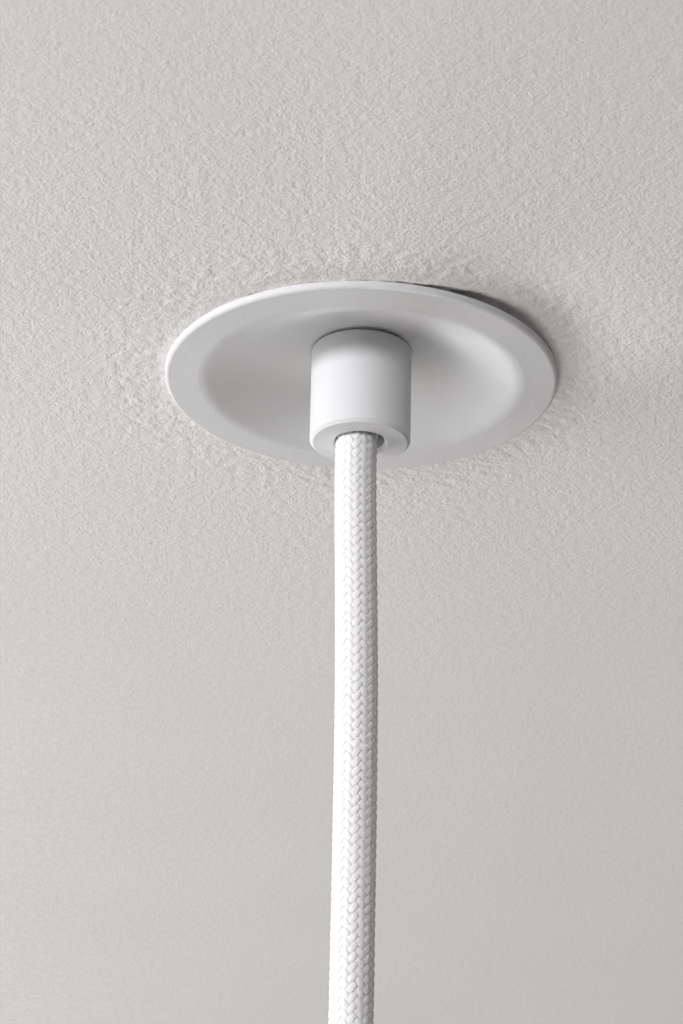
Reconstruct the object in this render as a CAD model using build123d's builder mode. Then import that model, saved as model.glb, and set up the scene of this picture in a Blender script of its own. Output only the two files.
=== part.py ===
from build123d import *

import os
from math import atan, atan2, cos, pi, sin, sqrt, tan

# Recessed ceiling canopy for one textile pendant cord, in millimetres.
# The origin is on the cord's axis in the plane of the ceiling, and +Z points up into the ceiling void.

os.makedirs("parts", exist_ok=True)

# Cord
cord_diameter = 6.4
core_diameter = 2.2
core_circle = 1.3
conductor_diameter = 1.2

# Cover, turned from one blank: a flat back land and a dish that rises into the cut-out
cover_diameter = 60.0
cover_wall = 1.5
rim_edge = 1.1
rim_crest = 1.1
rim_land = 6.1
edge_round = 0.6
crest_bend = 4.5
back_round = 0.6
recess = 4.6
dish_floor = 12.5
floor_bend = 14.0

# Threaded tube with its nut and washer
cord_slack = 0.25
tube_wall = 1.55
tube_chamfer = 0.4
thread_clearance = 0.05
tube_above_nut = 1.6
nut_across_flats = 14.0
nut_height = 2.8
nut_chamfer = 0.5
washer_diameter = 16.0
washer_thickness = 0.8
washer_teeth = 12
tooth_gap = 1.4
tooth_depth = 1.5

# Collar and the collet inside it
collar_diameter = 15.3
collar_length = 15.9
collar_end_wall = 2.4
collar_bevel = 0.5
bore_gap = 0.52
bore_bevel = 0.5
shadow_gap = 0.4
shadow_step = 1.3
collet_length = 5.0
collet_lift = 0.3
collet_clearance = 0.1
collet_grip_gap = 0.05
collet_slit = 0.8
collet_slits = 4
collet_hinge = 1.5

# Bracket, folded from one sheet
sheet = 1.5
bracket_boss = 10.5
ear_length = 8.0
ear_bend = 1.0
stop_thickness = 1.5
stop_width = 5.6
stop_gap = 0.3
tongue_width = 14.0
tongue_gap = 0.5
tongue_above_screw = 6.0

# Spring clips
pin_diameter = 2.5
pin_reach = 16.5
pin_height = 15.0
pin_clearance = 0.05
pin_head = 4.2
pin_head_thickness = 0.9
pin_fit = 0.02
arm_sheet = 1.0
arm_inner_width = 6.6
arm_side_gap = 0.3
arm_reach = 38.0
arm_drop = 2.0
web_start = 3.4
cheek_radius = 3.2
cheek_reach = 14.0
foot_bend = 1.0
foot_height = 10.4
pad_below_bend = 0.1
pad_thickness = 2.8
pad_overhang = 0.6
pad_floor = 0.9
pad_clearance = 0.05
pad_round = 0.7

# Torsion springs
wire_diameter = 0.9
coil_clearance = 0.65
coil_pitch = 1.0
coil_turns = 4
spring_gap = 0.05
arm_leg_reach = 12.0
base_leg_reach = 6.5

# Terminal block and its screws
pole_pitch = 8.0
poles = 3
block_depth = 11.0
block_height = 16.0
block_round = 1.0
block_gap = 13.0
insert_diameter = 5.0
insert_length = 14.0
insert_bore = 3.2
insert_clearance = 0.05
port_diameter = 3.6
clamp_screw = 3.0
clamp_screw_length = 3.6
clamp_edge = 0.7
clamp_slot_width = 0.6
clamp_slot_depth = 0.7
access_clearance = 0.2
pole_groove = 1.6
block_screw_head = 5.2
block_screw_head_height = 1.9
block_screw_round = 0.85
block_screw_tail = 1.5

# Cord end above the tube
cord_above_tube = 4.2
sleeve_wall = 0.45
sleeve_gap = 0.02
sleeve_lap = 3.2
sleeve_taper = 1.2
sleeve_neck = 1.6
neck_clearance = 0.08
core_rise = 4.0

# Lamp-side grip at the lower end of the cord
grip_diameter = 13.0
grip_length = 12.0
grip_end_wall = 2.5
grip_bevel = 0.5
grip_cord_gap = 0.12
nipple_engagement = 7.0
nipple_free = 8.0
nipple_undercut = 0.8
undercut_depth = 0.35
nipple_chamfer = 0.4

# Places worked out from the sizes above
cord_radius = cord_diameter / 2
core_radius = core_diameter / 2
cover_radius = cover_diameter / 2
cover_top = recess + cover_wall
tube_bore = cord_radius + cord_slack
tube_radius = tube_bore + tube_wall
thread_bore = tube_radius + thread_clearance
bracket_top = cover_top + sheet
washer_top = bracket_top + washer_thickness
nut_top = washer_top + nut_height
tube_top = nut_top + tube_above_nut
collar_radius = collar_diameter / 2
collar_bottom = recess - collar_length
collar_bore = cord_radius + bore_gap
chamber_floor = collar_bottom + collar_end_wall
collet_bottom = chamber_floor + collet_lift
tube_bottom = collet_bottom + collet_length
cord_end = tube_top + cord_above_tube

# The free cord: straight runs with one large arc at each bend, as (x, y, z) along its axis.
# It lies against the left of the collar's mouth, drifts back under the load and then hangs plumb.
cord_route = [
    (-0.25, 0, collet_bottom),
    (-0.25, 0, -13.0),
    (-0.48, 0, -21.0),
    (-0.10, 0, -36.0),
    (0.40, 0, -62.0),
    (0.46, 0, -112.0),
]
cord_bottom = cord_route[-1]
grip_top = cord_bottom[2] + grip_length - nipple_engagement
grip_bottom = grip_top - grip_length


def bend_radii(points):
    """Radius at each inner point: 0.45 of the shorter run beside it, over the tangent of half the turn."""
    radii = []
    for before, corner, after in zip(points, points[1:], points[2:]):
        run_in = Vector(*corner) - Vector(*before)
        run_out = Vector(*after) - Vector(*corner)
        half_turn = run_in.get_angle(run_out) / 2 * pi / 180
        radii.append(0.45 * min(run_in.length, run_out.length) / tan(half_turn))
    return radii


def side_plane(side):
    """Upright plane through the axis whose x points outwards: side 1 is the right clip, side -1 the left."""
    return Plane(origin=(0, 0, 0), x_dir=(side, 0, 0), z_dir=(0, -side, 0))


# Cover
cover_hole = thread_bore
crest_radius = cover_radius - rim_land
dish_slope = atan2(recess + rim_crest, crest_radius - dish_floor)
back_bend = dish_floor + cover_wall * tan(dish_slope / 2)
back_radius = back_bend + cover_top / tan(dish_slope)

with BuildPart() as canopy_dish:
    with BuildSketch(Plane.XZ):
        with BuildLine():
            FilletPolyline(
                (cover_hole, recess),
                (dish_floor, recess),
                (crest_radius, -rim_crest),
                (cover_radius, -rim_edge),
                (cover_radius, 0),
                radius=[floor_bend, crest_bend, edge_round],
            )
            FilletPolyline(
                (cover_radius, 0),
                (back_radius, 0),
                (back_bend, cover_top),
                (cover_hole, cover_top),
                radius=[back_round, floor_bend + cover_wall],
            )
            Line((cover_hole, cover_top), (cover_hole, recess))
        make_face()
    revolve(axis=Axis.Z)
canopy_dish.part.label = "canopy_dish"
export_step(canopy_dish.part, "parts/canopy_dish.step")

# Collar: a turned sleeve, threaded inside, with a cone that closes the collet and a recessed top shoulder
with BuildPart() as collar:
    with BuildSketch(Plane.XZ):
        with BuildLine():
            Polyline(
                (thread_bore, recess),
                (collar_radius - shadow_step, recess),
                (collar_radius - shadow_step, recess - shadow_gap),
                (collar_radius, recess - shadow_gap),
                (collar_radius, collar_bottom + collar_bevel),
                (collar_radius - collar_bevel, collar_bottom),
                (collar_bore + bore_bevel, collar_bottom),
                (collar_bore, collar_bottom + bore_bevel),
                (collar_bore, chamber_floor),
                (thread_bore, chamber_floor + thread_bore - collar_bore),
                close=True,
            )
        make_face()
    revolve(axis=Axis.Z)
collar.part.label = "collar"
export_step(collar.part, "parts/collar.step")

# Collet: a slit nylon bush whose nose seats on the collar's cone and closes on the cord
collet_radius = thread_bore - collet_clearance
collet_bore = cord_radius + collet_grip_gap
nose_radius = collar_bore + collet_lift

with BuildPart() as cord_collet:
    with BuildSketch(Plane.XZ):
        with BuildLine():
            Polyline(
                (collet_bore, collet_bottom),
                (nose_radius, collet_bottom),
                (collet_radius, collet_bottom + collet_radius - nose_radius),
                (collet_radius, tube_bottom),
                (collet_bore, tube_bottom),
                close=True,
            )
        make_face()
    revolve(axis=Axis.Z)
    with BuildSketch(Plane.XY.offset(collet_bottom)):
        with PolarLocations((collet_bore + collet_radius) / 2, collet_slits, start_angle=180 / collet_slits):
            Rectangle(2 * (collet_radius - collet_bore), collet_slit)
    extrude(amount=collet_length - collet_hinge, mode=Mode.SUBTRACT)
cord_collet.part.label = "cord_collet"
export_step(cord_collet.part, "parts/cord_collet.step")

# Threaded tube through the cover and bracket
with BuildPart() as threaded_tube:
    with BuildSketch(Plane.XY.offset(tube_bottom)):
        Circle(tube_radius)
        Circle(tube_bore, mode=Mode.SUBTRACT)
    extrude(amount=tube_top - tube_bottom)
    ends = threaded_tube.edges().filter_by(GeomType.CIRCLE).filter_by(lambda e: e.radius > tube_bore + tube_wall / 2)
    chamfer(ends, tube_chamfer)
threaded_tube.part.label = "threaded_tube"
export_step(threaded_tube.part, "parts/threaded_tube.step")

# Toothed washer under the nut
with BuildPart() as toothed_washer:
    with BuildSketch(Plane.XY.offset(bracket_top)):
        Circle(washer_diameter / 2)
        Circle(thread_bore, mode=Mode.SUBTRACT)
        with PolarLocations(washer_diameter / 2, washer_teeth):
            Rectangle(2 * tooth_depth, tooth_gap, mode=Mode.SUBTRACT)
    extrude(amount=washer_thickness)
toothed_washer.part.label = "toothed_washer"
export_step(toothed_washer.part, "parts/toothed_washer.step")

# Lock nut
nut_corner = nut_across_flats / sqrt(3)

with BuildPart() as lock_nut:
    with BuildSketch(Plane.XY.offset(washer_top)):
        RegularPolygon(nut_across_flats / 2, 6, major_radius=False)
        Circle(thread_bore, mode=Mode.SUBTRACT)
    extrude(amount=nut_height)
    with BuildSketch(Plane.XZ):
        with BuildLine():
            Polyline(
                (nut_corner - nut_chamfer, nut_top),
                (nut_corner + nut_chamfer, nut_top - nut_chamfer),
                (nut_corner + nut_chamfer, nut_top),
                close=True,
            )
        make_face()
    revolve(axis=Axis.Z, mode=Mode.SUBTRACT)
lock_nut.part.label = "lock_nut"
export_step(lock_nut.part, "parts/lock_nut.step")

# Bracket: base strip, four ears for the hinge pins, two stops and a tongue for the terminal block
arm_outer_width = arm_inner_width + 2 * arm_sheet
ear_inside = arm_outer_width / 2 + arm_side_gap
ear_outside = ear_inside + sheet
strip_end = pin_reach + ear_length / 2
web_bottom = pin_height - arm_drop
web_top = web_bottom + arm_sheet
stop_top = web_bottom - stop_gap
stop_place = strip_end + stop_thickness / 2
tongue_front = nut_corner + tongue_gap
tongue_back = tongue_front + sheet
block_bottom = cord_end + block_gap
block_top = block_bottom + block_height
block_middle = (block_bottom + block_top) / 2
pin_hole = pin_diameter / 2 + pin_fit

with BuildPart() as clip_bracket:
    with BuildSketch(Plane.XY.offset(cover_top)):
        Rectangle(2 * strip_end, 2 * ear_outside)
        Rectangle(2 * (strip_end + stop_thickness), stop_width)
        Circle(bracket_boss)
        with Locations((0, tongue_back / 2)):
            Rectangle(tongue_width, tongue_back)
        Circle(thread_bore, mode=Mode.SUBTRACT)
    extrude(amount=sheet)
    for side in (1, -1):
        for edge in (1, -1):
            with BuildSketch(side_plane(side).offset(edge * (ear_inside + sheet / 2))):
                with Locations((pin_reach, (cover_top + pin_height) / 2)):
                    Rectangle(ear_length, pin_height - cover_top)
                with Locations((pin_reach, pin_height)):
                    Circle(ear_length / 2)
                    Circle(pin_hole, mode=Mode.SUBTRACT)
            extrude(amount=sheet / 2, both=True)
        with BuildSketch(Plane.XY.offset(cover_top)):
            with Locations((side * stop_place, 0)):
                Rectangle(stop_thickness, stop_width)
        extrude(amount=stop_top - cover_top)
    with BuildSketch(Plane.XZ.offset(-tongue_front)):
        with Locations((0, (cover_top + block_middle + tongue_above_screw) / 2)):
            Rectangle(tongue_width, block_middle + tongue_above_screw - cover_top)
    extrude(amount=-sheet)
    corners = clip_bracket.edges().filter_by(Axis.Y).group_by(Axis.Z)[-1]
    fillet(corners, tongue_above_screw / 2)
    with Locations(Plane.XZ.offset(-tongue_front)):
        with Locations((0, block_middle)):
            Hole(clamp_screw / 2 + pin_fit)
    folds = clip_bracket.edges().filter_by(Axis.X).group_by(Axis.Z)[0]
    fillet(folds.filter_by(lambda e: abs(abs(e.center().Y) - ear_outside) < 0.01), ear_bend)
clip_bracket.part.label = "clip_bracket"
export_step(clip_bracket.part, "parts/clip_bracket.step")

# Spring clips: arm, pad, hinge pin and torsion spring on each side
arm_end = arm_reach + arm_sheet / 2
coil_radius = pin_diameter / 2 + coil_clearance + wire_diameter / 2
wire_radius = wire_diameter / 2
pad_bottom = foot_height - pad_floor
pad_height = web_bottom - foot_bend - pad_below_bend - pad_bottom


def leg_run(x, z):
    """Length of a straight leg from where it leaves the coil to the point (x, z) from the pin's centre."""
    return sqrt(x * x + z * z - coil_radius * coil_radius)


# Torsion spring, wound about its own z axis. Both legs leave the top of the coil:
# one presses on the arm's web, the other on the bracket's base strip.
arm_leg = (arm_leg_reach, web_top + spring_gap + wire_radius - pin_height)
base_leg = (-base_leg_reach, bracket_top + spring_gap + wire_radius - pin_height)
arm_run = leg_run(*arm_leg)
base_run = leg_run(*base_leg)
arm_angle = atan2(arm_leg[1], arm_leg[0]) - atan(coil_radius / arm_run) + pi / 2
base_angle = 2 * pi + atan2(base_leg[1], base_leg[0]) + atan(coil_radius / base_run) - pi / 2
winding = base_angle - arm_angle + 2 * pi * coil_turns
coil_length = coil_pitch * winding / (2 * pi)
lead = coil_pitch / (2 * pi * coil_radius)
coil_end = Vector(coil_radius * cos(winding), coil_radius * sin(winding), coil_length)
arm_leg_run = Vector(-sin(winding), cos(winding), lead) * arm_run

with BuildPart() as wound_wire:
    with BuildLine() as wire_path:
        Line((coil_radius, -base_run, -base_run * lead), (coil_radius, 0, 0))
        Helix(coil_pitch, coil_length, coil_radius)
        Line(coil_end, coil_end + arm_leg_run)
    with BuildSketch(Plane(origin=wire_path.line @ 0, z_dir=wire_path.line % 0)):
        Circle(wire_radius)
    sweep()

for side, name in ((1, "right"), (-1, "left")):
    with BuildPart() as clip_arm:
        with BuildSketch(side_plane(side)):
            with BuildLine():
                FilletPolyline(
                    (pin_reach + web_start, web_top),
                    (arm_end, web_top),
                    (arm_end, foot_height),
                    radius=foot_bend + arm_sheet,
                )
                Line((arm_end, foot_height), (arm_end - arm_sheet, foot_height))
                FilletPolyline(
                    (arm_end - arm_sheet, foot_height),
                    (arm_end - arm_sheet, web_bottom),
                    (pin_reach + web_start, web_bottom),
                    radius=foot_bend,
                )
                Line((pin_reach + web_start, web_bottom), (pin_reach + web_start, web_top))
            make_face()
        extrude(amount=arm_outer_width / 2, both=True)
        for edge in (1, -1):
            with BuildSketch(side_plane(side).offset(edge * (arm_inner_width + arm_sheet) / 2)):
                with BuildLine():
                    Polyline(
                        (pin_reach, pin_height + cheek_radius),
                        (pin_reach + cheek_reach, web_top),
                        (pin_reach + cheek_reach, web_bottom),
                        (pin_reach, pin_height - cheek_radius),
                        close=True,
                    )
                make_face()
                with Locations((pin_reach, pin_height)):
                    Circle(cheek_radius)
                    Circle(pin_diameter / 2 + pin_clearance, mode=Mode.SUBTRACT)
            extrude(amount=arm_sheet / 2, both=True)
    clip_arm.part.label = f"{name}_clip_arm"
    export_step(clip_arm.part, f"parts/{name}_clip_arm.step")

    with BuildPart() as clip_pad:
        with BuildSketch(Plane.XY.offset(pad_bottom)):
            with Locations((side * arm_reach, 0)):
                RectangleRounded(pad_thickness, arm_outer_width + 2 * pad_overhang, pad_round)
        extrude(amount=pad_height)
        with BuildSketch(Plane.XY.offset(foot_height)):
            with Locations((side * arm_reach, 0)):
                Rectangle(arm_sheet + 2 * pad_clearance, arm_outer_width + 2 * pad_clearance)
        extrude(amount=pad_height, mode=Mode.SUBTRACT)
    clip_pad.part.label = f"{name}_clip_pad"
    export_step(clip_pad.part, f"parts/{name}_clip_pad.step")

    with BuildPart() as hinge_pin:
        with BuildSketch(side_plane(side).offset(-ear_outside - pin_head_thickness / 2)):
            with Locations((pin_reach, pin_height)):
                Circle(pin_diameter / 2)
        extrude(amount=2 * ear_outside + pin_head_thickness)
        for start in (-ear_outside - pin_head_thickness, ear_outside):
            with BuildSketch(side_plane(side).offset(start)):
                with Locations((pin_reach, pin_height)):
                    Circle(pin_head / 2)
            extrude(amount=pin_head_thickness)
    hinge_pin.part.label = f"{name}_hinge_pin"
    export_step(hinge_pin.part, f"parts/{name}_hinge_pin.step")

    # The springs are alike: the left one is the right one turned half round the canopy's axis.
    coil_plane = Plane(
        origin=(side * pin_reach, -side * coil_length / 2, pin_height),
        x_dir=(side * cos(base_angle), 0, sin(base_angle)),
        z_dir=(0, side, 0),
    )
    with BuildPart() as torsion_spring:
        with Locations(coil_plane):
            add(wound_wire.part)
    torsion_spring.part.label = f"{name}_spring"
    export_step(torsion_spring.part, f"parts/{name}_spring.step")

# Terminal block: nylon housing, brass inserts, clamp screws and the screw that fixes it to the tongue
block_width = poles * pole_pitch
block_back = tongue_front
block_front = block_back - block_depth
pole_y = (block_front + block_back) / 2
pole_places = [(pole_pitch * (i - (poles - 1) / 2), pole_y) for i in range(poles)]
insert_bottom = block_middle - insert_length / 2
clamp_screw_offset = insert_length / 2 - clamp_screw / 2 - clamp_edge
screw_levels = [block_middle - clamp_screw_offset, block_middle + clamp_screw_offset]
access_radius = clamp_screw / 2 + access_clearance
block_screw_radius = clamp_screw / 2

with BuildPart() as terminal_housing:
    with BuildSketch(Plane.XY.offset(block_bottom)):
        with Locations((0, pole_y)):
            RectangleRounded(block_width, block_depth, block_round)
        with Locations(*[(x + pole_pitch / 2, block_front) for x, y in pole_places[:-1]]):
            Circle(pole_groove / 2, mode=Mode.SUBTRACT)
    extrude(amount=block_height)
    with BuildSketch(Plane.XY.offset(block_bottom)):
        with Locations(*pole_places):
            Circle(port_diameter / 2)
    extrude(amount=block_height, mode=Mode.SUBTRACT)
    with BuildSketch(Plane.XY.offset(insert_bottom)):
        with Locations(*pole_places):
            Circle(insert_diameter / 2 + insert_clearance)
    extrude(amount=insert_length, mode=Mode.SUBTRACT)
    with BuildSketch(Plane.XZ.offset(-block_front)):
        with Locations(*[(x, z) for x, y in pole_places for z in screw_levels]):
            Circle(access_radius)
        with Locations((0, block_middle)):
            Circle(block_screw_radius + access_clearance)
    extrude(amount=-(pole_y - block_front), mode=Mode.SUBTRACT)
    with BuildSketch(Plane.XZ.offset(-pole_y)):
        with Locations((0, block_middle)):
            Circle(block_screw_radius + access_clearance)
    extrude(amount=-(block_back - pole_y), mode=Mode.SUBTRACT)
terminal_housing.part.label = "terminal_housing"
export_step(terminal_housing.part, "parts/terminal_housing.step")

with BuildPart() as terminal_inserts:
    with BuildSketch(Plane.XY.offset(insert_bottom)):
        with Locations(*pole_places):
            Circle(insert_diameter / 2)
            Circle(insert_bore / 2, mode=Mode.SUBTRACT)
    extrude(amount=insert_length)
    with BuildSketch(Plane.XZ.offset(-pole_y)):
        with Locations(*[(x, z) for x, y in pole_places for z in screw_levels]):
            Circle(clamp_screw / 2 + pin_fit)
        with Locations((0, block_middle)):
            Circle(block_screw_radius + pin_fit)
    extrude(amount=insert_diameter, mode=Mode.SUBTRACT)
    with BuildSketch(Plane.XZ.offset(-pole_y)):
        with Locations((0, block_middle)):
            Circle(block_screw_radius + pin_fit)
    extrude(amount=-insert_diameter, mode=Mode.SUBTRACT)
terminal_inserts.part.label = "terminal_inserts"
export_step(terminal_inserts.part, "parts/terminal_inserts.step")

# The lower screws are run in on the conductors, and the upper ones stand open for the supply
conductor_radius = conductor_diameter / 2
closed_tip = pole_y - conductor_radius
open_tip = pole_y - insert_bore / 2
with BuildPart() as clamp_screws:
    for level, tip in zip(screw_levels, (closed_tip, open_tip)):
        with BuildSketch(Plane.XZ.offset(-tip)):
            with Locations(*[(x, level) for x, y in pole_places]):
                Circle(clamp_screw / 2)
        extrude(amount=clamp_screw_length)
        with BuildSketch(Plane.XZ.offset(-(tip - clamp_screw_length + clamp_slot_depth))):
            with Locations(*[(x, level) for x, y in pole_places]):
                Rectangle(2 * clamp_screw, clamp_slot_width)
        extrude(amount=clamp_slot_depth, mode=Mode.SUBTRACT)
clamp_screws.part.label = "clamp_screws"
export_step(clamp_screws.part, "parts/clamp_screws.step")

with BuildPart() as block_screw:
    with BuildSketch(Plane.XZ.offset(-(tongue_back + block_screw_tail))):
        with Locations((0, block_middle)):
            Circle(block_screw_radius)
    extrude(amount=tongue_back + block_screw_tail - block_front)
    with BuildSketch(Plane.XZ.offset(-block_front)):
        with Locations((0, block_middle)):
            Circle(block_screw_head / 2)
    extrude(amount=block_screw_head_height)
    head = block_screw.faces().sort_by(Axis.Y)[0]
    fillet(head.edges(), block_screw_round)
    with BuildSketch(Plane.XZ.offset(-(block_front - block_screw_head_height + clamp_slot_depth))):
        with Locations((0, block_middle)):
            Rectangle(2 * block_screw_head, clamp_slot_width)
    extrude(amount=clamp_slot_depth, mode=Mode.SUBTRACT)
block_screw.part.label = "block_screw"
export_step(block_screw.part, "parts/block_screw.step")

# Cord inside the canopy, from the collet's lower face to its cut end above the tube
with BuildPart() as cord_in_canopy:
    with BuildSketch(Plane.XY.offset(collet_bottom)):
        Circle(cord_radius)
    extrude(amount=cord_end - collet_bottom)
cord_in_canopy.part.label = "cord_in_canopy"
export_step(cord_in_canopy.part, "parts/cord_in_canopy.step")

# Sleeve that binds the end of the braid and narrows round the cores
sleeve_bore = cord_radius + sleeve_gap
neck_bore = core_circle + core_radius + neck_clearance
sleeve_bottom = cord_end - sleeve_lap
with BuildPart() as braid_sleeve:
    with BuildSketch(Plane.XZ):
        with BuildLine():
            Polyline(
                (sleeve_bore, sleeve_bottom),
                (sleeve_bore, cord_end),
                (neck_bore, cord_end + sleeve_taper),
                (neck_bore, cord_end + sleeve_taper + sleeve_neck),
                (neck_bore + sleeve_wall, cord_end + sleeve_taper + sleeve_neck),
                (neck_bore + sleeve_wall, cord_end + sleeve_taper),
                (sleeve_bore + sleeve_wall, cord_end),
                (sleeve_bore + sleeve_wall, sleeve_bottom),
                close=True,
            )
        make_face()
    revolve(axis=Axis.Z)
braid_sleeve.part.label = "braid_sleeve"
export_step(braid_sleeve.part, "parts/braid_sleeve.step")

# Three cores from the cord's end to the lower ports, and their stripped ends in the inserts
core_top = insert_bottom
core_names = ("line_core", "earth_core", "neutral_core")
core_starts = [(core_circle * cos(a), core_circle * sin(a)) for a in (pi * 7 / 6, pi / 2, -pi / 6)]
for core_name, start, place in zip(core_names, core_starts, pole_places):
    core_route = [
        (*start, cord_end),
        (*start, cord_end + core_rise),
        (*place, block_bottom - core_rise),
        (*place, core_top),
    ]
    with BuildPart() as core:
        with BuildLine():
            FilletPolyline(*core_route, radius=bend_radii(core_route))
        with BuildSketch(Plane.XY.offset(cord_end)):
            with Locations(start):
                Circle(core_radius)
        sweep()
    core.part.label = core_name
    export_step(core.part, f"parts/{core_name}.step")

with BuildPart() as conductor_ends:
    with BuildSketch(Plane.XY.offset(core_top)):
        with Locations(*pole_places):
            Circle(conductor_radius)
    extrude(amount=insert_length / 2 - block_screw_radius)
conductor_ends.part.label = "conductor_ends"
export_step(conductor_ends.part, "parts/conductor_ends.step")

# Free cord as one plain tube
with BuildPart() as pendant_cord:
    with BuildLine() as cord_line:
        FilletPolyline(*cord_route, radius=bend_radii(cord_route))
    with BuildSketch(Plane.XY.offset(collet_bottom)):
        with Locations(cord_route[0][:2]):
            Circle(cord_radius)
    sweep()
pendant_cord.part.label = "pendant_cord"
export_step(pendant_cord.part, "parts/pendant_cord.step")
cord_length = sum(edge.length for edge in cord_line.edges())
tube_volume = pi * cord_radius**2 * cord_length
print("cord arc radii", [round(radius, 1) for radius in bend_radii(cord_route)])
print("cord length", round(cord_length, 2), "volume ratio", round(pendant_cord.part.volume / tube_volume, 5))

# Lamp-side grip: a turned sleeve on the cord's end, with a threaded nipple for the lamp holder
grip_axis = Plane(origin=(cord_bottom[0], cord_bottom[1], 0), x_dir=(1, 0, 0), z_dir=(0, -1, 0))
nipple_bottom = grip_bottom - nipple_free
with BuildPart() as lamp_grip:
    with BuildSketch(grip_axis):
        with BuildLine():
            Polyline(
                (cord_radius + grip_cord_gap, grip_top),
                (grip_diameter / 2 - grip_bevel, grip_top),
                (grip_diameter / 2, grip_top - grip_bevel),
                (grip_diameter / 2, grip_bottom + grip_bevel),
                (grip_diameter / 2 - grip_bevel, grip_bottom),
                (thread_bore, grip_bottom),
                (thread_bore, grip_top - grip_end_wall),
                (cord_radius + grip_cord_gap, grip_top - grip_end_wall),
                close=True,
            )
        make_face()
    revolve(axis=Axis((cord_bottom[0], cord_bottom[1], 0), (0, 0, 1)))
lamp_grip.part.label = "lamp_grip"
export_step(lamp_grip.part, "parts/lamp_grip.step")

with BuildPart() as lamp_nipple:
    with BuildSketch(grip_axis):
        with BuildLine():
            Polyline(
                (cord_radius - cord_slack, cord_bottom[2]),
                (tube_radius, cord_bottom[2]),
                (tube_radius, grip_bottom),
                (tube_radius - undercut_depth, grip_bottom),
                (tube_radius - undercut_depth, grip_bottom - nipple_undercut),
                (tube_radius, grip_bottom - nipple_undercut),
                (tube_radius, nipple_bottom + nipple_chamfer),
                (tube_radius - nipple_chamfer, nipple_bottom),
                (cord_radius - cord_slack, nipple_bottom),
                close=True,
            )
        make_face()
    revolve(axis=Axis((cord_bottom[0], cord_bottom[1], 0), (0, 0, 1)))
lamp_nipple.part.label = "lamp_nipple"
export_step(lamp_nipple.part, "parts/lamp_nipple.step")
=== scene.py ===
# %% [markdown]
# # A recessed ceiling canopy and its braided cord
# A round cover sits in a hole in the ceiling and dishes upwards. A short collar comes down from its middle,
# and a textile cord hangs out of the collar. Spring clips above the ceiling hold it all up. The shapes come
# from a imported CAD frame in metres: the origin is on the cord's axis in the plane of the ceiling, and +Z
# points up into the void. This lesson adds what a solid model lacks: the braid, the wound springs, the
# threads, the finishes, the light and the view.

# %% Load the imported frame
from math import atan, atan2, cos, pi, radians, sin, sqrt

import bpy
import numpy as np
from mathutils import Matrix, Vector
from mathutils.noise import noise as smooth_noise


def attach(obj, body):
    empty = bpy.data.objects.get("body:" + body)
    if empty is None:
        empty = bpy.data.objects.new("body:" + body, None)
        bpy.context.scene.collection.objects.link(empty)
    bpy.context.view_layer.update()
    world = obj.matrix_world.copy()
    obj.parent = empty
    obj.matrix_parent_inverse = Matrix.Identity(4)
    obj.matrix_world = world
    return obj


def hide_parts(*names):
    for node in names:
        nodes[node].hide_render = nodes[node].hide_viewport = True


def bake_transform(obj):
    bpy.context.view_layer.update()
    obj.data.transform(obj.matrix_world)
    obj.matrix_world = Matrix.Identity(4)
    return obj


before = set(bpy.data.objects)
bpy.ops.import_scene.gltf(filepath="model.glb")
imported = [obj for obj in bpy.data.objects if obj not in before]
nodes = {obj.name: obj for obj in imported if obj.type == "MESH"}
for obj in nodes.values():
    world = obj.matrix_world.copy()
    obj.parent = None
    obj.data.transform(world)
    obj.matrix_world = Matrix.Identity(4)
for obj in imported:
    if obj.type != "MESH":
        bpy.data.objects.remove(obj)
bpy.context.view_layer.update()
mm = 0.001

# %% [markdown]
# ## The view
# The camera looks up at the cover from below, about half a metre away, through a long lens. Place, tilt and
# lens could be guessed and nudged, but here they were worked out from the outline of the rim and the
# collar. The slight roll is that of a camera held by hand.

# %% Camera
camera_place = Vector((-2.546, -444.687, -235.008)) * mm
camera_tilt = radians(90 + 25.502)
camera_roll = radians(1.335)

bpy.ops.object.camera_add(location=camera_place)
camera = bpy.context.object
camera.matrix_world = (
    Matrix.Translation(camera_place)
    @ Matrix.Rotation(camera_tilt, 4, "X")
    @ Matrix.Rotation(camera_roll, 4, "Z")
)
camera.data.lens = 115.51
camera.data.sensor_width = 36
bpy.context.scene.camera = camera
print("camera", round(camera_place.length, 3), "m from the origin, lens", round(camera.data.lens, 1))

# %% [markdown]
# ## The cord's line
# The cord hangs straight under its load, but not perfectly: it leans on the left of the collar's mouth,
# drifts back over the next hand's width and then hangs plumb. A spline with a few control points gives such
# a line without kinks. The braid is laid along points read from that spline, so the whole cord follows one
# smooth line.

# %% The spline and the points along it
cord_radius = 3.2 * mm
cord_points = [
    (-0.25, 0, -8.6),
    (-0.58, 0, -11.6),
    (-0.49, 0, -21.0),
    (-0.05, 0, -36.0),
    (0.46, 0, -61.0),
    (0.46, 0, -112.0),
]


def spline_points(name, control_points):
    """Points along a smooth spline with these control points, in millimetres, as an array in metres."""
    curve = bpy.data.curves.new(name, "CURVE")
    curve.dimensions = "3D"
    curve.resolution_u = 40
    spline = curve.splines.new("NURBS")
    spline.points.add(len(control_points) - 1)
    for knot, place in zip(spline.points, control_points):
        knot.co = (*(Vector(place) * mm), 1)
    spline.order_u = 3
    spline.use_endpoint_u = True
    holder = bpy.data.objects.new(name, curve)
    line = bpy.data.meshes.new_from_object(holder)
    places = np.array([vertex.co for vertex in line.vertices])
    bpy.data.objects.remove(holder)
    bpy.data.meshes.remove(line)
    return places


cord_line = spline_points("cord_line", cord_points)
cord_steps = np.linalg.norm(np.diff(cord_line, axis=0), axis=1)
cord_depth = np.concatenate([[0], np.cumsum(cord_steps)])
cord_length = cord_depth[-1]
print("cord line", len(cord_line), "points,", round(cord_length / mm, 2), "mm long")


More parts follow.
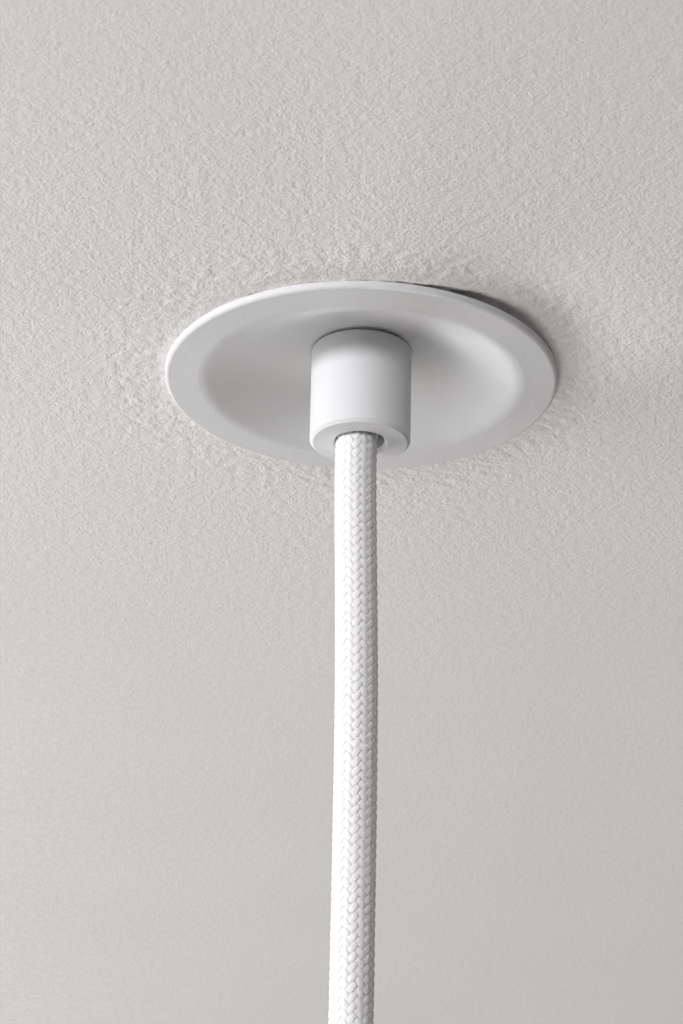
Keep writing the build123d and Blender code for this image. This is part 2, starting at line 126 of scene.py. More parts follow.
def along_cord(depth):
    """Places on the cord's line at these distances from its top."""
    return np.stack([np.interp(depth, cord_depth, cord_line[:, axis]) for axis in range(3)], axis=-1)


# %% [markdown]
# ## The threads
# The tube and the lamp grip's nipple carry the fine thread of lamp fittings, 10 mm across with a pitch of 1
# mm. In the workshop a pointed tool cuts it as a V-shaped groove along a helix, and so it is made here: a
# triangle is wound into a helix and taken away from a copy of the plain piece. Bump alone would leave a
# straight outline. Only the parts that can be seen are cut.

# %% A V-shaped groove along a helix
thread_radius = 5.0 * mm
thread_pitch = 1.0 * mm
groove_depth = 0.54 * mm
groove_width = 0.875 * mm
groove_overshoot = 0.05 * mm
merge_distance = 0.001 * mm


def groove_cutter(axis_x, low, high):
    """A closed triangular section wound round the upright axis at this x, from low to high."""
    reach = thread_radius + groove_overshoot
    half = groove_width / 2 * (1 + groove_overshoot / groove_depth)
    profile = bpy.data.meshes.new("groove_cutter")
    corners = [(reach, 0, -half), (thread_radius - groove_depth, 0, 0), (reach, 0, half)]
    profile.from_pydata(corners, [(0, 1), (1, 2), (2, 0)], [])
    cutter = bpy.data.objects.new("groove_cutter", profile)
    bpy.context.scene.collection.objects.link(cutter)
    bpy.ops.object.select_all(action="DESELECT")
    bpy.context.view_layer.objects.active = cutter
    cutter.select_set(True)
    winding = cutter.modifiers.new("winding", "SCREW")
    winding.axis = "Z"
    winding.steps = winding.render_steps = 48
    winding.screw_offset = thread_pitch
    winding.iterations = round((high - low) / thread_pitch)
    bpy.ops.object.modifier_apply(modifier=winding.name)
    bpy.ops.object.mode_set(mode="EDIT")
    bpy.ops.mesh.select_all(action="SELECT")
    bpy.ops.mesh.fill_holes(sides=3)
    bpy.ops.mesh.select_all(action="SELECT")
    bpy.ops.mesh.normals_make_consistent(inside=False)
    bpy.ops.object.mode_set(mode="OBJECT")
    cutter.location = (axis_x, 0, low)
    bpy.ops.object.transform_apply(location=True)
    return cutter


# %% Copies of the plain pieces with the groove cut
def cut_thread(name, node_name, axis_x, low, high):
    """A merged copy of a node with the thread cut from low to high."""
    piece = nodes[node_name].copy()
    piece.data = nodes[node_name].data.copy()
    piece.name = name
    bpy.context.scene.collection.objects.link(piece)
    cutter = groove_cutter(axis_x, low, high)
    bpy.ops.object.select_all(action="DESELECT")
    bpy.context.view_layer.objects.active = piece
    piece.select_set(True)
    bpy.ops.object.mode_set(mode="EDIT")
    bpy.ops.mesh.select_all(action="SELECT")
    bpy.ops.mesh.remove_doubles(threshold=merge_distance)
    bpy.ops.object.mode_set(mode="OBJECT")
    plain_faces = len(piece.data.polygons)
    cut = piece.modifiers.new("cut", "BOOLEAN")
    cut.operation = "DIFFERENCE"
    cut.solver = "EXACT"
    cut.object = cutter
    bpy.ops.object.modifier_apply(modifier=cut.name)
    bpy.data.objects.remove(cutter)
    bpy.ops.object.mode_set(mode="EDIT")
    bpy.ops.mesh.select_all(action="SELECT")
    bpy.ops.mesh.dissolve_degenerate(threshold=merge_distance)
    bpy.ops.mesh.select_all(action="SELECT")
    bpy.ops.mesh.normals_make_consistent(inside=False)
    bpy.ops.object.mode_set(mode="OBJECT")
    bpy.ops.object.shade_smooth_by_angle(angle=radians(30))
    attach(piece, "canopy")
    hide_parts(node_name)
    print(name, plain_faces, "faces before the cut and", len(piece.data.polygons), "after")
    return piece


nipple_axis = cord_points[-1][0] * mm
cut_tube = cut_thread("cut_tube", "threaded_tube", 0.0, 10.2 * mm, 13.2 * mm)
cut_nipple = cut_thread("cut_nipple", "lamp_nipple", nipple_axis, -127.5 * mm, -119.5 * mm)

# %% [markdown]
# ## The braid
# The jacket is braided from 32 carriers of a soft, slightly flattened yarn: 16 wind one way round the cord
# and 16 the other, and each goes over two and under two. Seen from outside that gives upright columns, in
# turn leaning right and left, like a herringbone. A bump texture could fake it, but the real jacket has a
# scalloped outline and small deep gaps, so each yarn is built as its own thin tube whose distance from the
# cord's axis rises where it passes over and sinks where it passes under. A yarn is not round: four strands
# lie side by side in it, so its section is a flat ribbon with four small crowns.

# %% The lay of the yarns
carriers = 16
lay = 23.44 * mm
yarn_width = 1.10 * mm
yarn_thickness = 0.52 * mm
yarn_rise = 0.15 * mm
liner_gap = 0.06 * mm
liner_sides = 28
yarn_middle = cord_radius - yarn_rise - yarn_thickness / 2
steps_per_wave = 6
crest_sharpness = 1.3
waves_per_turn = carriers // 2
first_turn = radians(-9.8)
print("yarns", 2 * carriers, "at", round(lay / carriers / mm, 3), "mm")
print("middle radius", round(yarn_middle / mm, 2), "mm")


def over_or_under(around):
    """1 where the right-leaning yarns lie on top, -1 where the left-leaning ones do, with a rounded crest."""
    wave = np.cos(waves_per_turn * around)
    return np.tanh(crest_sharpness * wave) / np.tanh(crest_sharpness)


# %% The section of a yarn: four crowns above, a flat belly below
valley_depth = 0.40
side_roundness = 0.92
valleys = np.array([0, 0, 1, 0, 1, 0, 1, 0, 0])
crown_side = np.linspace(1, -1, len(valleys))
crown_rise = np.sqrt(1 - (side_roundness * crown_side) ** 2) - valley_depth * valleys
crown_rise[[0, -1]] = 0
section_side = np.concatenate([crown_side, [-0.6, 0, 0.6]])
section_rise = np.concatenate([crown_rise, [-0.8, -1, -0.8]])
section_points = len(section_side)
print("section", section_points, "points")


# %% One yarn as a closed tube with its own UV map
def yarn_tube(number, hand):
    """Vertices, faces and UVs of one yarn; hand 1 leans right seen from outside, hand -1 leans left."""
    step_length = lay / (waves_per_turn * steps_per_wave)
    depth = np.append(np.arange(0, cord_length - 0.1 * mm, step_length), cord_length)
    count = len(depth)
    around = 2 * pi * number / carriers + pi / 32 + hand * (first_turn - 2 * pi * depth / lay)
    height = hand * over_or_under(around)
    radial = np.stack([np.sin(around), -np.cos(around), np.zeros(count)], axis=-1)
    centre = along_cord(depth) + radial * (yarn_middle + yarn_rise * height)[:, None]
    ahead = np.gradient(centre, axis=0)
    ahead /= np.linalg.norm(ahead, axis=1)[:, None]
    outward = radial - (radial * ahead).sum(axis=1)[:, None] * ahead
    outward /= np.linalg.norm(outward, axis=1)[:, None]
    across = np.cross(ahead, outward)
    half_width = yarn_width / 2 * (0.93 + 0.07 * height)
    ring = (
        centre[:, None]
        + across[:, None] * (half_width[:, None] * section_side)[..., None]
        + outward[:, None] * (yarn_thickness / 2 * section_rise)[None, :, None]
    )
    here = np.arange(count - 1)[:, None] * section_points + np.arange(section_points)
    step = np.roll(np.arange(section_points), -1) - np.arange(section_points)
    quads = np.stack([here, here + step, here + step + section_points, here + section_points], axis=-1)
    uv = np.stack(np.broadcast_arrays((section_side + 1) / 2, depth[:, None] / yarn_width), -1)
    uv[..., 1] += 7.3 * number + 3.1 * hand
    return ring.reshape(-1, 3), quads.reshape(-1, 4), uv.reshape(-1, 2)


# %% The liner under the yarns
def liner_tube(radius, sides, rings):
    """A plain tube under the braid, so that no light passes through its gaps."""
    depth = np.linspace(0, cord_length, rings)
    turn = np.linspace(0, 2 * pi, sides, endpoint=False)
    circle = np.stack([np.sin(turn), -np.cos(turn), np.zeros(sides)], axis=-1) * radius
    ring = along_cord(depth)[:, None] + circle
    here = np.arange(rings - 1)[:, None] * sides + np.arange(sides)
    step = np.roll(np.arange(sides), -1) - np.arange(sides)
    quads = np.stack([here, here + sides, here + step + sides, here + step], axis=-1)
    uv = np.stack([np.tile(turn, (rings, 1)), np.repeat(depth[:, None] / yarn_width, sides, 1)], -1)
    return ring.reshape(-1, 3), quads.reshape(-1, 4), uv.reshape(-1, 2)


# %% All the yarns and the liner in one mesh
def mesh_piece(name, parts, rings):
    """One smooth mesh of several open tubes, with both ends of each tube capped."""
    places, faces, uvs, start = [], [], [], 0
    for (points, quads, uv), ring in zip(parts, rings):
        places.append(points)
        uvs.append(uv)
        faces += (quads + start).tolist()
        first = list(range(start, start + ring))
        last = list(range(start + len(points) - ring, start + len(points)))
        faces += [first, last[::-1]]
        start += len(points)
    places, uvs = np.concatenate(places), np.concatenate(uvs)
    mesh = bpy.data.meshes.new(name)
    mesh.from_pydata(places.tolist(), [], faces)
    layer = mesh.uv_layers.new(name="along_yarn")
    corners = np.zeros(len(mesh.loops), int)
    mesh.loops.foreach_get("vertex_index", corners)
    layer.data.foreach_set("uv", uvs[corners].ravel())
    mesh.polygons.foreach_set("use_smooth", [True] * len(mesh.polygons))
    piece = bpy.data.objects.new(name, mesh)
    bpy.context.scene.collection.objects.link(piece)
    return piece


tubes = [yarn_tube(number, hand) for hand in (1, -1) for number in range(carriers)]
liner = liner_tube(yarn_middle - liner_gap, liner_sides, 60)
braid = mesh_piece("braided_cord", tubes + [liner], [section_points] * len(tubes) + [liner_sides])


def recalculate_outside(piece):
    """Turn every face of a piece outwards, as by hand in edit mode."""
    bpy.ops.object.select_all(action="DESELECT")
    bpy.context.view_layer.objects.active = piece
    piece.select_set(True)
    bpy.ops.object.mode_set(mode="EDIT")
    bpy.ops.mesh.select_all(action="SELECT")
    bpy.ops.mesh.normals_make_consistent(inside=False)
    bpy.ops.object.mode_set(mode="OBJECT")
    piece.select_set(False)


recalculate_outside(braid)
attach(braid, "canopy")
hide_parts("pendant_cord")
print("braid", len(braid.data.polygons), "faces")

# %% [markdown]
# ## The torsion springs
# A torsion spring of drawn wire sits on each hinge pin: one leg presses on the bracket and the other on the
# clip. A coil could be made with a screw modifier, but its straight legs leave the coil at a tangent, so
# here the wire's line is worked out and given a round section. Each spring is built in this one pose; on the
# real clip the coil winds when the clip folds up, while the leg on the bracket stays.

# %% The wire's own line
wire_radius = 0.45 * mm
coil_radius = 2.35 * mm
coil_pitch = 1.0 * mm
pin_place = Vector((16.5, 0, 15.0)) * mm
arm_leg = Vector((12.0, -0.5)) * mm
base_leg = Vector((-6.5, -6.9)) * mm
arm_run = sqrt(arm_leg.length_squared - coil_radius**2)
base_run = sqrt(base_leg.length_squared - coil_radius**2)
arm_angle = atan2(arm_leg.y, arm_leg.x) - atan(coil_radius / arm_run) + pi / 2
base_angle = 2 * pi + atan2(base_leg.y, base_leg.x) + atan(coil_radius / base_run) - pi / 2
winding = base_angle - arm_angle + 8 * pi
lead = coil_pitch / (2 * pi)
coil_length = lead * winding
slope = lead / coil_radius

wire_line = [Vector((coil_radius, -base_run, -base_run * slope))]
for turn in np.linspace(0, winding, int(24 * winding / (2 * pi))):
    wire_line.append(Vector((coil_radius * cos(turn), coil_radius * sin(turn), lead * turn)))
wire_line.append(wire_line[-1] + Vector((-sin(winding), cos(winding), slope)) * arm_run)
print("wire", len(wire_line), "points,", round(winding / (2 * pi), 2), "turns")
print("coil", round(coil_length / mm, 2), "mm wide")


# %% One spring on each pin
def wound_spring(side, name, body):
    """The wire as a round mesh on its pin; side 1 is the right clip and side -1 the left."""
    curve = bpy.data.curves.new(name, "CURVE")
    curve.dimensions = "3D"
    curve.bevel_depth = wire_radius
    curve.bevel_resolution = 4
    curve.use_fill_caps = True
    spline = curve.splines.new("POLY")
    spline.points.add(len(wire_line) - 1)
    x_axis = Vector((side * cos(base_angle), 0, sin(base_angle)))
    z_axis = Vector((0, side, 0))
    turned = Matrix((x_axis, z_axis.cross(x_axis), z_axis)).transposed()
    origin = Vector((side * pin_place.x, -side * coil_length / 2, pin_place.z))
    for knot, place in zip(spline.points, wire_line):
        knot.co = (*(turned @ place + origin), 1)
    spring = bpy.data.objects.new(name, curve)
    bpy.context.scene.collection.objects.link(spring)
    bpy.ops.object.select_all(action="DESELECT")
    bpy.context.view_layer.objects.active = spring
    spring.select_set(True)
    bpy.ops.object.convert(target="MESH")
    bpy.ops.object.shade_smooth_by_angle(angle=radians(40))
    recalculate_outside(spring)
    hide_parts(f"{body.split('_')[0]}_spring")
    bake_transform(spring)
    print(name, len(spring.data.polygons), "faces")
    return spring


springs = [
    wound_spring(1, "right_wound_spring", "right_clip"),
    wound_spring(-1, "left_wound_spring", "left_clip"),
]

# %% [markdown]
# ## The ceiling
# The ceiling is only the stage: a painted surface in the plane of the cover's back land, with a hole that
# the cover hides. It is a ring drawn as a circle of edges and extruded outwards. Plaster is never quite
# flat: in front on the right it has a shallow hollow, which the rim bridges, and there the rim's shadow is
# widest. One point is raised with a soft falloff for that, and near the rim the nap of the roller is real
# height, so that the shadow's edge is ragged. The nap also runs in under the rim, where it crosses the
# cover's back by up to 0.13 mm; only views from above show it. Seen from above the ceiling lets the light
# and the view through, so that the clips and the terminal block can be looked at too.

# %% A painted ceiling with its cut-out
ceiling_hole = 26.0 * mm
nap_size = 0.8 * mm
nap_height = 0.11 * mm
hollow_place = Vector((25, -18, 0)) * mm
hollow_depth = 1.5 * mm
hollow_reach = 0.026
nap_end = 0.044
nap_fade = 0.006
fine_rings = np.arange(28.0, 44.0, 0.4) * mm
outer_rings = [0.046, 0.050, 0.056, 0.065, 0.2, 1.6]
bpy.ops.object.select_all(action="DESELECT")
bpy.ops.mesh.primitive_circle_add(
    vertices=420, radius=ceiling_hole, fill_type="NOTHING", location=(0, 0, 0)
)
ceiling = bpy.context.object
ceiling.name = "painted_ceiling"
bpy.ops.object.mode_set(mode="EDIT")
reach = ceiling_hole
for next_reach in [*fine_rings, *outer_rings]:
    bpy.ops.mesh.extrude_region_move()
    bpy.ops.transform.resize(value=(next_reach / reach, next_reach / reach, 1))
    reach = next_reach
bpy.ops.mesh.select_all(action="SELECT")
bpy.ops.mesh.normals_make_consistent(inside=False)
bpy.ops.mesh.select_all(action="DESELECT")
bpy.ops.object.mode_set(mode="OBJECT")
nearest = min(ceiling.data.vertices, key=lambda vertex: (vertex.co - hollow_place).length)
nearest.select = True
bpy.ops.object.mode_set(mode="EDIT")
bpy.ops.transform.translate(
    value=(0, 0, hollow_depth),
    use_proportional_edit=True,
    proportional_edit_falloff="SMOOTH",
    proportional_size=hollow_reach,
)
bpy.ops.object.mode_set(mode="OBJECT")
if ceiling.data.polygons[0].normal.z > 0:
    ceiling.data.flip_normals()
for vertex in ceiling.data.vertices:
    fade = min(max((nap_end - vertex.co.length) / nap_fade, 0), 1)
    bumps = smooth_noise(vertex.co / nap_size) + smooth_noise(vertex.co / (2 * nap_size))
    vertex.co.z += nap_height * fade * bumps
ceiling.data.polygons.foreach_set("use_smooth", [True] * len(ceiling.data.polygons))
deepest = max(vertex.co.z for vertex in ceiling.data.vertices)
print("ceiling faces", len(ceiling.data.polygons), "hollow", round(deepest / mm, 2), "mm deep")

# %% [markdown]
# ## Light
# The light comes in low from the left, like that of a row of windows, and comes back from the floor. One
# lamp can't do that: it leaves either the dish or the dark side of the collar wrong. So five lamps just
# under the ceiling stand for the windows in front, at the left and behind, and send the collar's shadow
# over the dish. Two more stand for the light that the floor and the far wall send back. Hardly any light
# comes evenly from everywhere, so the crevices stay dark.

# %% Windows, floor and surround
def soft_lamp(name, around, below, distance, width, height, power, colour):
    """A soft rectangular lamp; around is counted from the camera's side to the right, in degrees."""
    turn, drop = radians(around), radians(below)
    towards = Vector((sin(turn) * cos(drop), -cos(turn) * cos(drop), -sin(drop)))
    bpy.ops.object.light_add(type="AREA", location=towards * distance)
    lamp = bpy.context.object
    lamp.name = name
    lamp.data.shape = "RECTANGLE"
    lamp.data.size, lamp.data.size_y = width, height
    lamp.data.energy = power
    lamp.data.color = colour
    lamp.rotation_euler = (-towards).to_track_quat("-Z", "Y").to_euler()
    lamp.visible_camera = False
    print(name, power, "W at", [round(v, 2) for v in lamp.location])
    return lamp


daylight = (0.985, 0.975, 1.0)
bounced = (1.0, 0.975, 0.94)
soft_lamp("front_window", -25, 5, 1.0, 0.50, 0.15, 4.9, daylight)
soft_lamp("left_window", -58, 6, 0.8, 0.40, 0.12, 2.1, daylight)
soft_lamp("side_window", -78, 14, 0.55, 0.28, 0.15, 0.92, daylight)
soft_lamp("corner_window", -115, 14, 1.0, 0.50, 0.25, 1.2, daylight)
soft_lamp("back_window", -160, 13, 3.5, 1.75, 0.80, 50.0, daylight)
soft_lamp("floor_bounce", -105, 63, 1.2, 0.60, 0.55, 3.8, bounced)
soft_lamp("wall_bounce", 145, 60, 2.0, 1.10, 0.80, 8.2, bounced)

surround = bpy.data.worlds.new("surround")
surround.use_nodes = True
surround.node_tree.nodes["Background"].inputs["Color"].default_value = (1.0, 0.99, 0.98, 1)
surround.node_tree.nodes["Background"].inputs["Strength"].default_value = 0.022
bpy.context.scene.world = surround
bpy.context.scene.view_settings.view_transform = "Standard"

# %% [markdown]
# ## Finishes
# Each finish is a small network of nodes. Object coordinates are in metres, so a grain of a quarter of a
# millimetre is a noise with a scale of 4000. What is the same all over goes on the shader's own socket, and
# noise changes the colour, the roughness and the bump a little from place to place, as real coatings do.

# %% Helpers for finishes
def new_finish(name, **sockets):
    """A material whose shader has these values on its own sockets."""
    finish = bpy.data.materials.new(name)
    finish.use_nodes = True
    shader = finish.node_tree.nodes["Principled BSDF"]
    for socket, value in sockets.items():
        shader.inputs[socket.replace("_", " ")].default_value = value
    return finish, shader


def node(finish, kind, **values):
    """A node of this kind. Names in lower case are its settings, and names with a capital are its sockets."""
    made = finish.node_tree.nodes.new("ShaderNode" + kind)
    for name, value in values.items():
        if name[0].islower():
            setattr(made, name, value)
        else:
            made.inputs[name.replace("_", " ")].default_value = value
    return made


def link(finish, output, target):
    finish.node_tree.links.new(output, target)


def object_points(finish, scale=(1, 1, 1)):
    """Object coordinates, stretched by this much."""
    points = node(finish, "TexCoord")
    stretch = node(finish, "Mapping", Scale=scale)
    link(finish, points.outputs["Object"], stretch.inputs["Vector"])
    return stretch.outputs["Vector"]


def noise(finish, points, size, detail=2.0, roughness=0.5):
    """A noise whose grain has this size in millimetres."""
    made = node(finish, "TexNoise", Scale=1 / (size * mm), Detail=detail, Roughness=roughness)
    link(finish, points, made.inputs["Vector"])
    return made.outputs["Fac"]


def spread(finish, value, low, high, start=0.3, end=0.7):
    """A value from low to high as the input goes from start to end."""
    made = node(finish, "MapRange", From_Min=start, From_Max=end, To_Min=low, To_Max=high)
    link(finish, value, made.inputs["Value"])
    return made.outputs["Result"]


def tint(finish, value, dark, light, start=0.3, end=0.7):
    """A colour between two, as the input goes from start to end."""
    ramp = node(finish, "ValToRGB")
    ramp.color_ramp.elements[0].position = start
    ramp.color_ramp.elements[1].position = end
    ramp.color_ramp.elements[0].color = (*dark, 1)
    ramp.color_ramp.elements[1].color = (*light, 1)
    link(finish, value, ramp.inputs["Fac"])
    return ramp.outputs["Color"]


def relief(finish, shader, heights, edge=0.0):
    """Bumps stacked on each other, as pairs of a height and its depth in millimetres; edge rounds corners."""
    normal = None
    if edge:
        softened = node(finish, "Bevel", samples=6, Radius=edge * mm)
        normal = softened.outputs["Normal"]
    for height, depth in heights:
        bump = node(finish, "Bump", Distance=depth * mm, Strength=1.0)
        link(finish, height, bump.inputs["Height"])
        if normal:
            link(finish, normal, bump.inputs["Normal"])
        normal = bump.outputs["Normal"]
    link(finish, normal, shader.inputs["Normal"])


# %% [markdown]
# ### Powder coat
# The cover, the collar and the lamp grip are turned metal with a matt white powder coat. The powder melts
# into a fine orange peel, and a little of it stays as grit. The coat is slightly cool beside the warm paint
# of the ceiling.

# %% White powder coat
def powder_coat(name, light, dark, peel, grit):
    finish, shader = new_finish(name, Specular_IOR_Level=0.35)
    points = object_points(finish)
    fine = noise(finish, points, 0.30, detail=3.0, roughness=0.6)
    wide = noise(finish, points, 1.1, detail=1.0)
    link(finish, tint(finish, fine, dark, light), shader.inputs["Base Color"])
    link(finish, spread(finish, fine, 0.56, 0.70), shader.inputs["Roughness"])
    relief(finish, shader, [(wide, peel), (fine, grit)], edge=0.14)
    return finish


cover_tones = (0.715, 0.715, 0.719), (0.675, 0.675, 0.680)
turned_tones = (0.735, 0.735, 0.741), (0.695, 0.695, 0.702)
cover_coat = powder_coat("white_cover_coat", *cover_tones, peel=0.024, grit=0.045)
collar_coat = powder_coat("white_collar_coat", *turned_tones, peel=0.012, grit=0.024)
grip_coat = powder_coat("white_grip_coat", *turned_tones, peel=0.012, grit=0.024)


def dress(finish, *names):
    """Give CAD nodes a finish in their own material slots."""
    for name in names:
        for slot in nodes[name].material_slots:
            slot.material = finish


dress(cover_coat, "canopy_dish")
dress(collar_coat, "collar")
dress(grip_coat, "lamp_grip")
print("coated", cover_coat.name, collar_coat.name, grip_coat.name)

# %% [markdown]
# ### Ceiling paint
# The ceiling is rolled: the nap of the roller leaves a fine stipple of soft bumps about a millimetre wide.
# Light that grazes it from the left draws each bump with a bright and a dark side. Its back is clear, so
# that the void can be seen from above.

# %% Rolled paint with a clear back
paint, paint_shader = new_finish("rolled_paint", Specular_IOR_Level=0.25)
paint_points = object_points(paint)
grain = noise(paint, paint_points, 0.60, detail=2.0, roughness=0.6)
stipple = noise(paint, paint_points, 1.7, detail=2.0, roughness=0.6)
shade = noise(paint, paint_points, 60.0, detail=1.0)
fading = node(paint, "VectorMath", operation="LENGTH")
link(paint, paint_points, fading.inputs[0])
nap = spread(paint, fading.outputs["Value"], 1.0, 0.25, start=0.035, end=0.120)


def napped(height):
    """A height that fades with the nap of the roller."""
    made = node(paint, "Math", operation="MULTIPLY")
    link(paint, height, made.inputs[0])
    link(paint, nap, made.inputs[1])
    return made.outputs["Value"]


darker, lighter = (0.828, 0.810, 0.799), (0.846, 0.829, 0.819)
link(paint, tint(paint, shade, darker, lighter), paint_shader.inputs["Base Color"])
link(paint, spread(paint, stipple, 0.55, 0.75), paint_shader.inputs["Roughness"])
relief(paint, paint_shader, [(napped(stipple), 0.24), (napped(grain), 0.17)])
clear = node(paint, "BsdfTransparent")
one_sided = node(paint, "MixShader")
facing = node(paint, "NewGeometry")
paint_output = paint.node_tree.nodes["Material Output"]
link(paint, facing.outputs["Backfacing"], one_sided.inputs[0])
link(paint, paint_shader.outputs["BSDF"], one_sided.inputs[1])
link(paint, clear.outputs["BSDF"], one_sided.inputs[2])
link(paint, one_sided.outputs["Shader"], paint_output.inputs["Surface"])
ceiling.data.materials.append(paint)
print("paint", paint.name)

# %% [markdown]
# ### Braided textile
# A strand is a bundle of fine parallel filaments. The UV map runs across and along each yarn, so a noise
# stretched along it draws the filaments. The fibres are white and let some light through, which softens the
# shadows between them, and sheen gives the soft bright edge of cloth.

# %% White braid
textile, textile_shader = new_finish("white_braid", Roughness=0.78, Specular_IOR_Level=0.3, Sheen_Weight=0.6)
textile_shader.inputs["Subsurface Weight"].default_value = 0.6
textile_shader.inputs["Subsurface Radius"].default_value = (1.0, 1.0, 1.0)
textile_shader.inputs["Subsurface Scale"].default_value = 0.3 * mm
textile_shader.inputs["Sheen Roughness"].default_value = 0.5
yarn_uv = node(textile, "UVMap", uv_map="along_yarn")
fibre_points = node(textile, "Mapping", Scale=(26.0, 0.9, 1.0))
link(textile, yarn_uv.outputs["UV"], fibre_points.inputs["Vector"])
fibre = node(textile, "TexNoise", Scale=1.0, Detail=3.0, Roughness=0.6)
link(textile, fibre_points.outputs["Vector"], fibre.inputs["Vector"])
slub_points = node(textile, "Mapping", Scale=(4.0, 0.5, 1.0))
link(textile, yarn_uv.outputs["UV"], slub_points.inputs["Vector"])
slub = node(textile, "TexNoise", Scale=1.0, Detail=1.0)
link(textile, slub_points.outputs["Vector"], slub.inputs["Vector"])
link(
    textile,
    tint(textile, fibre.outputs["Fac"], (0.88, 0.872, 0.858), (0.94, 0.933, 0.920)),
    textile_shader.inputs["Base Color"],
)
relief(textile, textile_shader, [(slub.outputs["Fac"], 0.04), (fibre.outputs["Fac"], 0.02)])
braid.data.materials.append(textile)
print("textile", textile.name)

# %% [markdown]
# ### Metal above the ceiling
# The bracket and the clips are zinc-plated sheet: grey, a little cloudy, with a fine grain along the
# rolling. The tube, nut and washer are brighter, and the screws and pins are plain steel. All are one
# network with other values.

# %% Plated and bare metal
def metal(name, light, dark, smooth, rough, grain=(1, 1, 1), cloud=3.0, scratch=0.0015):
    finish, shader = new_finish(name, Metallic=1.0)
    points = object_points(finish, grain)
    fine = noise(finish, points, 0.25, detail=4.0, roughness=0.65)
    patch = noise(finish, object_points(finish), cloud, detail=3.0, roughness=0.6)
    link(finish, tint(finish, patch, dark, light), shader.inputs["Base Color"])
    link(finish, spread(finish, fine, smooth, rough), shader.inputs["Roughness"])
    relief(finish, shader, [(fine, scratch)], edge=0.10)
    return finish


rolled_sheet = {"grain": (0.12, 1, 1), "scratch": 0.002}
turned_bar = {"grain": (1, 1, 0.3), "cloud": 2.0, "scratch": 0.0005}
zinc_sheet = metal("zinc_sheet", (0.66, 0.68, 0.71), (0.52, 0.54, 0.57), 0.26, 0.44, **rolled_sheet)
zinc_clip = metal("zinc_clip_sheet", (0.62, 0.63, 0.66), (0.48, 0.50, 0.53), 0.28, 0.46, **rolled_sheet)
bright_zinc = metal("bright_zinc", (0.74, 0.76, 0.79), (0.64, 0.66, 0.70), 0.20, 0.32, **turned_bar)
pin_steel = metal("pin_steel", (0.70, 0.70, 0.71), (0.60, 0.60, 0.62), 0.16, 0.30, grain=(1, 0.2, 1))
screw_steel = metal("screw_steel", (0.68, 0.67, 0.65), (0.55, 0.54, 0.53), 0.20, 0.38, cloud=1.2)
insert_brass = metal("insert_brass", (0.86, 0.70, 0.40), (0.74, 0.57, 0.30), 0.20, 0.36, cloud=1.5)
spring_wire = metal("drawn_spring_wire", (0.55, 0.56, 0.58), (0.42, 0.43, 0.45), 0.22, 0.40, cloud=1.0)
drawn_wire = {"grain": (1, 1, 0.1), "cloud": 0.8}
copper = metal("bare_copper", (0.90, 0.52, 0.36), (0.72, 0.38, 0.25), 0.22, 0.40, **drawn_wire)

dress(zinc_sheet, "clip_bracket")
dress(zinc_clip, "right_clip_arm", "left_clip_arm")
dress(bright_zinc, "toothed_washer", "lock_nut")
for piece in (cut_tube, cut_nipple):
    for slot in piece.material_slots:
        slot.material = bright_zinc
dress(pin_steel, "right_hinge_pin", "left_hinge_pin")
dress(screw_steel, "clamp_screws", "block_screw")
dress(insert_brass, "terminal_inserts")
dress(copper, "conductor_ends")
for spring in springs:
    spring.data.materials.append(spring_wire)
print("bare and plated metal on 11 nodes, 2 cut threads and 2 springs")

# %% [markdown]
# ### Plastic, rubber and insulation
# The terminal housing is natural nylon, milky and faintly grained from the mould. The collet is coloured
# near black as painted shade: it stands for the shadow that fills the collar's mouth round the cord. The pads
# are soft grey rubber, the sleeve is shrunk plastic, and the cores have the usual smooth insulation in brown,
# blue, and green with yellow. The green and the yellow run along the core, so they are told apart by the side
# they lie on.

# %% Moulded and extruded plastics
def plastic(name, light, dark, smooth, rough, peel=0.004, grit=0.002, size=0.2, **sockets):
    finish, shader = new_finish(name, Specular_IOR_Level=0.45, **sockets)
    points = object_points(finish)
    fine = noise(finish, points, size, detail=3.0, roughness=0.6)
    wide = noise(finish, points, 1.6, detail=1.0)
    link(finish, tint(finish, noise(finish, points, 5.0), dark, light), shader.inputs["Base Color"])
    link(finish, spread(finish, fine, smooth, rough), shader.inputs["Roughness"])
    relief(finish, shader, [(wide, peel), (fine, grit)], edge=0.12)
    return finish


nylon = plastic("milky_nylon", (0.84, 0.82, 0.76), (0.78, 0.76, 0.70), 0.38, 0.52)
# The collet's near-black colour is painted shade for the dark mouth of the collar.
collet_nylon = plastic("collet_nylon", (0.030, 0.029, 0.028), (0.022, 0.021, 0.020), 0.40, 0.55)
rubber = plastic("pad_rubber", (0.46, 0.46, 0.45), (0.38, 0.38, 0.37), 0.70, 0.88, peel=0.010, grit=0.008)
sleeve = plastic("shrunk_sleeve", (0.74, 0.74, 0.73), (0.66, 0.66, 0.65), 0.34, 0.48, peel=0.02)
brown = plastic("brown_insulation", (0.125, 0.055, 0.028), (0.095, 0.040, 0.020), 0.28, 0.40)
blue = plastic("blue_insulation", (0.020, 0.110, 0.420), (0.014, 0.085, 0.350), 0.28, 0.40)

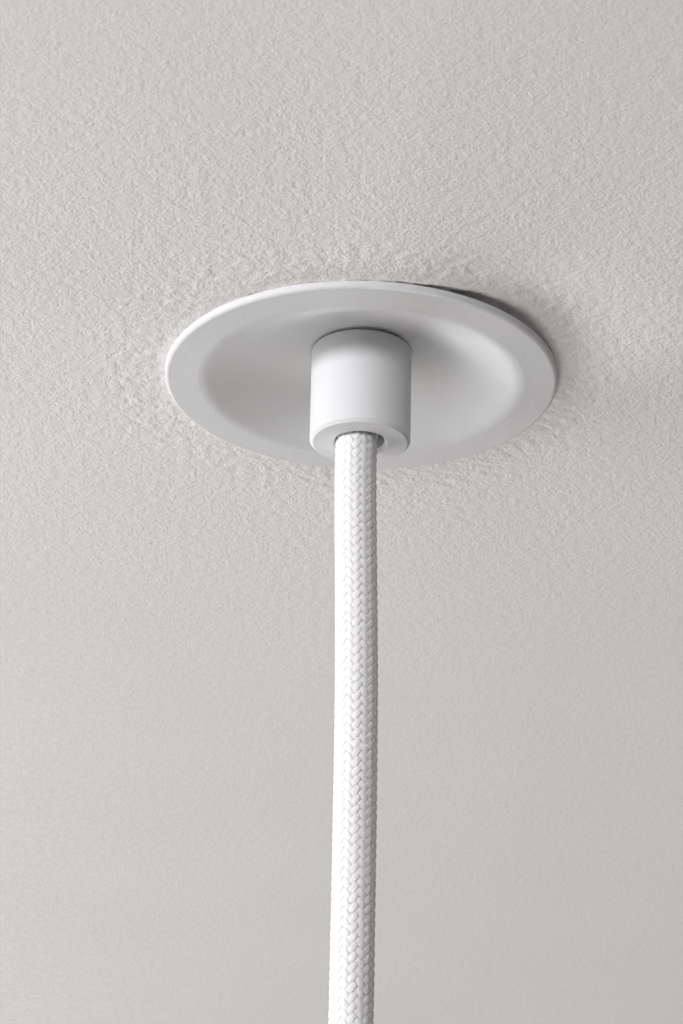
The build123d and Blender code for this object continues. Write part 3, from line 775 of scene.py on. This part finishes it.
earth, earth_shader = new_finish("green_yellow_insulation", Specular_IOR_Level=0.45)
earth_points = object_points(earth)
earth_side = node(earth, "SeparateXYZ")
link(earth, earth_points, earth_side.inputs["Vector"])
stripe = spread(earth, earth_side.outputs["X"], 0, 1, start=-0.03 * mm, end=0.03 * mm)
green, yellow = (0.045, 0.290, 0.060), (0.78, 0.62, 0.030)
link(earth, tint(earth, stripe, green, yellow, 0.0, 1.0), earth_shader.inputs["Base Color"])
earth_fine = noise(earth, earth_points, 0.2, detail=3.0)
link(earth, spread(earth, earth_fine, 0.28, 0.40), earth_shader.inputs["Roughness"])
relief(earth, earth_shader, [(noise(earth, earth_points, 1.6), 0.004), (earth_fine, 0.002)])

dress(nylon, "terminal_housing")
dress(collet_nylon, "cord_collet")
dress(rubber, "right_clip_pad", "left_clip_pad")
dress(sleeve, "braid_sleeve")
dress(brown, "line_core")
dress(blue, "neutral_core")
dress(earth, "earth_core")
print("nylon, rubber and insulation on 8 nodes")

# %% [markdown]
# ### The cord inside the canopy
# Only a narrow band of the cord shows above the tube, under its sleeve. It has no UV map, so its braid is
# drawn by two slanting waves of the angle round the axis and the height, and the larger of the two is on
# top. The colour darkens from the tops of the ridges into the gaps between them: that is painted shade.

# %% A braid drawn from angle and height
inner, inner_shader = new_finish("drawn_braid", Roughness=0.8, Specular_IOR_Level=0.3)
inner_split = node(inner, "SeparateXYZ")
link(inner, object_points(inner), inner_split.inputs["Vector"])
angle = node(inner, "Math", operation="ARCTAN2")
link(inner, inner_split.outputs["Y"], angle.inputs[0])
link(inner, inner_split.outputs["X"], angle.inputs[1])


def slanting_wave(lean):
    """Ridges that climb round the cord, one for each carrier; lean is 1 or -1."""
    around = node(inner, "Math", operation="MULTIPLY")
    around.inputs[1].default_value = carriers * lean
    link(inner, angle.outputs["Value"], around.inputs[0])
    phase = node(inner, "Math", operation="MULTIPLY_ADD")
    phase.inputs[1].default_value = 2 * pi * carriers / lay
    link(inner, inner_split.outputs["Z"], phase.inputs[0])
    link(inner, around.outputs["Value"], phase.inputs[2])
    ridge = node(inner, "Math", operation="SINE")
    link(inner, phase.outputs["Value"], ridge.inputs[0])
    return ridge.outputs["Value"]


upper = node(inner, "Math", operation="MAXIMUM")
link(inner, slanting_wave(1), upper.inputs[0])
link(inner, slanting_wave(-1), upper.inputs[1])
# Painted shade: the colour goes from light on the ridges to darker grey in the gaps between the yarns.
link(
    inner,
    tint(inner, upper.outputs["Value"], (0.62, 0.61, 0.60), (0.86, 0.855, 0.845), 0.0, 0.6),
    inner_shader.inputs["Base Color"],
)
relief(inner, inner_shader, [(upper.outputs["Value"], 0.12)])
dress(inner, "cord_in_canopy")
print("drawn braid with", carriers, "ridges each way")
